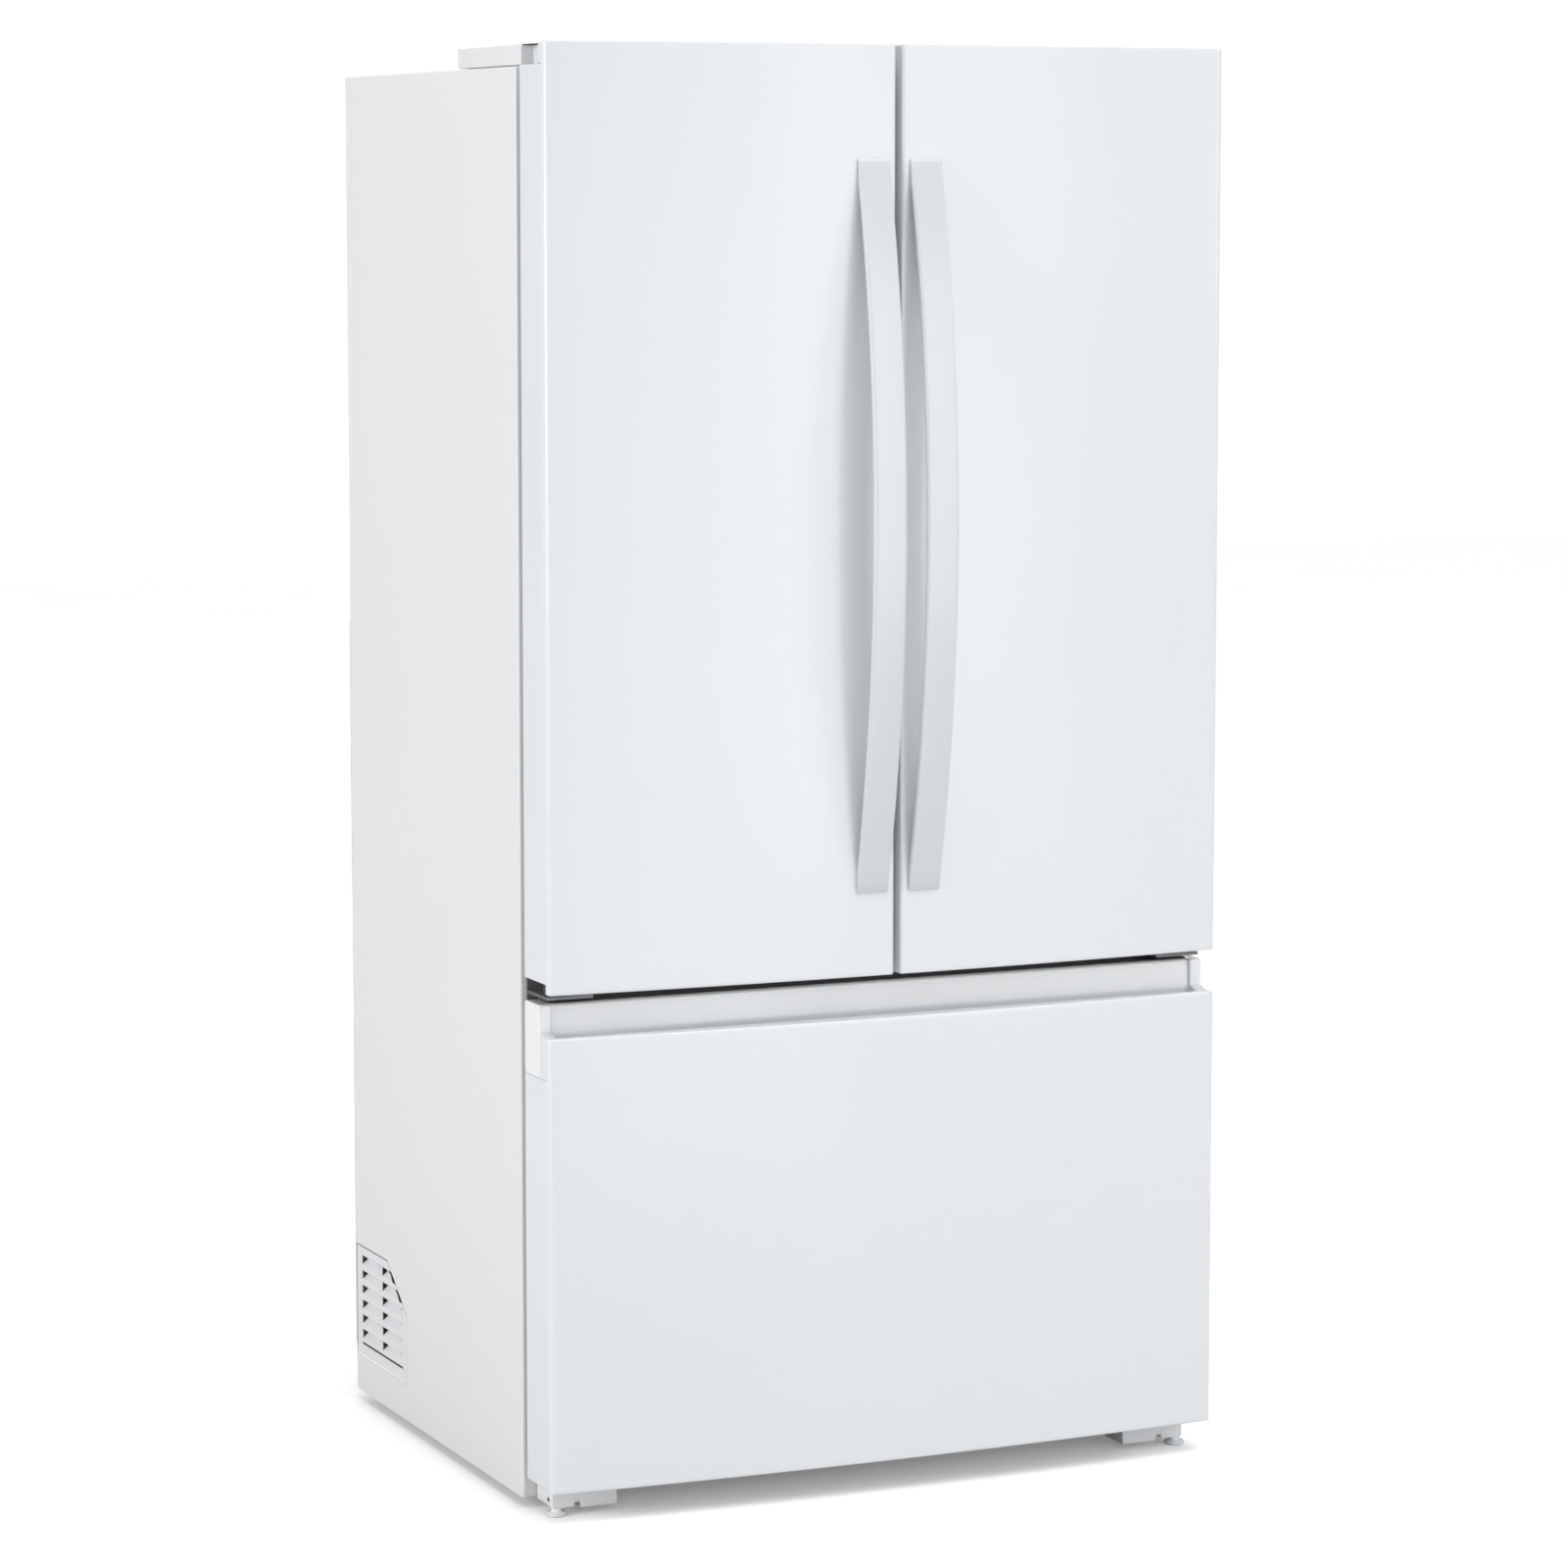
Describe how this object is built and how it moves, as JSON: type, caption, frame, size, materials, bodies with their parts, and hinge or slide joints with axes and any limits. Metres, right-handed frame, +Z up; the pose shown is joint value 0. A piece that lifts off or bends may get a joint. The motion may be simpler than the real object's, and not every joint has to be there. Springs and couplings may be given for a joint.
{
  "type": "french door refrigerator",
  "caption": "White french door refrigerator with two contoured upper doors on bowed handles, a full-width freezer drawer with a finger groove, and a fitted interior.",
  "frame": {"origin": "on the floor at the centre of the footprint, handles and rear cover included", "axes": "+Z up, +Y towards the rear, -Y towards the doors, +X to the right as seen from the front"},
  "size_m": [0.907, 0.799, 1.784],
  "materials": {
    "white_enamel": "gloss",
    "zinc_steel": "satin",
    "white_plastic": "satin",
    "grey_plastic": "satin",
    "clear_plastic": "gloss",
    "seal_rubber": "matte",
    "black_paint": "satin",
    "black_tube": "satin",
    "copper_tube": "satin",
    "insulation_foam": "matte",
    "shelf_glass": "gloss",
    "dark_plastic": "matte"
  },
  "bodies": {
    "cabinet": {"cabinet_shell": "white_enamel", "back_panel": "zinc_steel", "foam_insulation": "insulation_foam", "fresh_liner": "white_plastic", "freezer_liner": "white_plastic", "cross_rail": "white_enamel", "base_plate": "zinc_steel", "left_hinge_cover": "white_plastic", "right_hinge_cover": "white_plastic", "left_top_hinge": "zinc_steel", "right_top_hinge": "zinc_steel", "left_center_hinge": "zinc_steel", "right_center_hinge": "zinc_steel", "left_side_vent": "white_plastic", "right_side_vent": "white_plastic", "compressor": "black_paint", "condenser_coil": "black_tube", "fan_bracket": "dark_plastic", "drain_pan": "dark_plastic", "left_foot_cover": "white_enamel", "right_foot_cover": "white_enamel", "evaporator_cover": "white_plastic", "evaporator_coil": "copper_tube", "control_panel": "white_plastic", "light_lens": "clear_plastic", "left_upper_shelf": "shelf_glass", "left_lower_shelf": "shelf_glass", "right_upper_shelf": "shelf_glass", "right_lower_shelf": "shelf_glass", "crisper_cover": "shelf_glass"},
    "left_door": {"left_door_panel": "white_enamel", "left_door_liner": "white_plastic", "left_door_gasket": "seal_rubber", "left_door_handle": "white_enamel", "left_door_upper_bin": "clear_plastic", "left_door_lower_bin": "clear_plastic"},
    "right_door": {"right_door_panel": "white_enamel", "right_door_liner": "white_plastic", "right_door_gasket": "seal_rubber", "right_door_handle": "white_enamel", "right_door_upper_bin": "clear_plastic", "right_door_lower_bin": "clear_plastic"},
    "mullion": {"flipper_mullion": "grey_plastic"},
    "freezer_drawer": {"freezer_front": "white_enamel", "freezer_front_liner": "white_plastic", "freezer_gasket": "seal_rubber", "freezer_basket": "white_plastic"},
    "left_slide": {"left_freezer_slide": "zinc_steel"},
    "right_slide": {"right_freezer_slide": "zinc_steel"},
    "upper_tray": {"freezer_tray": "clear_plastic"},
    "left_crisper_body": {"left_crisper": "clear_plastic"},
    "right_crisper_body": {"right_crisper": "clear_plastic"},
    "fresh_button": {"fresh_temp_button": "grey_plastic"},
    "freezer_button": {"freezer_temp_button": "grey_plastic"},
    "condenser_fan_body": {"condenser_fan": "dark_plastic"},
    "evaporator_fan_body": {"evaporator_fan": "white_plastic"},
    "left_roller_body": {"left_roller": "dark_plastic"},
    "right_roller_body": {"right_roller": "dark_plastic"},
    "left_foot": {"left_leveling_foot": "grey_plastic"},
    "right_foot": {"right_leveling_foot": "grey_plastic"}
  },
  "joints": [
    {"name": "left_door_swing", "type": "hinge", "parent": "cabinet", "child": "left_door", "pos_m": [-0.4315, -0.2875, 1.2], "axis": [0, 0, -1], "range_deg": [0, 120]},
    {"name": "right_door_swing", "type": "hinge", "parent": "cabinet", "child": "right_door", "pos_m": [0.4315, -0.2875, 1.2], "axis": [0, 0, 1], "range_deg": [0, 120]},
    {"name": "mullion_fold", "type": "hinge", "parent": "left_door", "child": "mullion", "pos_m": [-0.041, -0.219, 1.2], "axis": [0, 0, 1], "range_deg": [0, 90]},
    {"name": "freezer_drawer_slide", "type": "slide", "parent": "cabinet", "child": "freezer_drawer", "axis": [0, -1, 0], "range_m": [0, 0.4]},
    {"name": "left_slide_travel", "type": "slide", "parent": "cabinet", "child": "left_slide", "axis": [0, -1, 0], "range_m": [0, 0.2]},
    {"name": "right_slide_travel", "type": "slide", "parent": "cabinet", "child": "right_slide", "axis": [0, -1, 0], "range_m": [0, 0.2]},
    {"name": "upper_tray_slide", "type": "slide", "parent": "cabinet", "child": "upper_tray", "axis": [0, -1, 0], "range_m": [0, 0.24]},
    {"name": "left_crisper_slide", "type": "slide", "parent": "cabinet", "child": "left_crisper_body", "axis": [0, -1, 0], "range_m": [0, 0.07]},
    {"name": "right_crisper_slide", "type": "slide", "parent": "cabinet", "child": "right_crisper_body", "axis": [0, -1, 0], "range_m": [0, 0.07]},
    {"name": "fresh_temp_press", "type": "slide", "parent": "cabinet", "child": "fresh_button", "axis": [0, 0, 1], "range_m": [0, 0.0015], "stiffness_N_per_m": 300, "springref_m": -0.001},
    {"name": "freezer_temp_press", "type": "slide", "parent": "cabinet", "child": "freezer_button", "axis": [0, 0, 1], "range_m": [0, 0.0015], "stiffness_N_per_m": 300, "springref_m": -0.001},
    {"name": "condenser_fan_spin", "type": "hinge", "parent": "cabinet", "child": "condenser_fan_body", "pos_m": [0.054, 0.265, 0.165], "axis": [1, 0, 0], "continuous": true},
    {"name": "evaporator_fan_spin", "type": "hinge", "parent": "cabinet", "child": "evaporator_fan_body", "pos_m": [0, 0.252, 0.475], "axis": [0, 1, 0], "continuous": true},
    {"name": "left_roller_spin", "type": "hinge", "parent": "cabinet", "child": "left_roller_body", "pos_m": [-0.37, 0.33, 0.025], "axis": [1, 0, 0], "continuous": true},
    {"name": "right_roller_spin", "type": "hinge", "parent": "cabinet", "child": "right_roller_body", "pos_m": [0.37, 0.33, 0.025], "axis": [1, 0, 0], "continuous": true},
    {"name": "left_foot_turn", "type": "hinge", "parent": "cabinet", "child": "left_foot", "pos_m": [-0.428, -0.2775, 0.005], "axis": [0, 0, 1], "continuous": true},
    {"name": "right_foot_turn", "type": "hinge", "parent": "cabinet", "child": "right_foot", "pos_m": [0.428, -0.2775, 0.005], "axis": [0, 0, 1], "continuous": true}
  ],
  "couplings": [
    {"joint": "mullion_fold", "follows": "left_door_swing", "ratio": 0.75},
    {"joint": "left_slide_travel", "follows": "freezer_drawer_slide", "ratio": 0.5},
    {"joint": "right_slide_travel", "follows": "freezer_drawer_slide", "ratio": 0.5},
    {"joint": "upper_tray_slide", "follows": "freezer_drawer_slide", "ratio": 0.6}
  ]
}
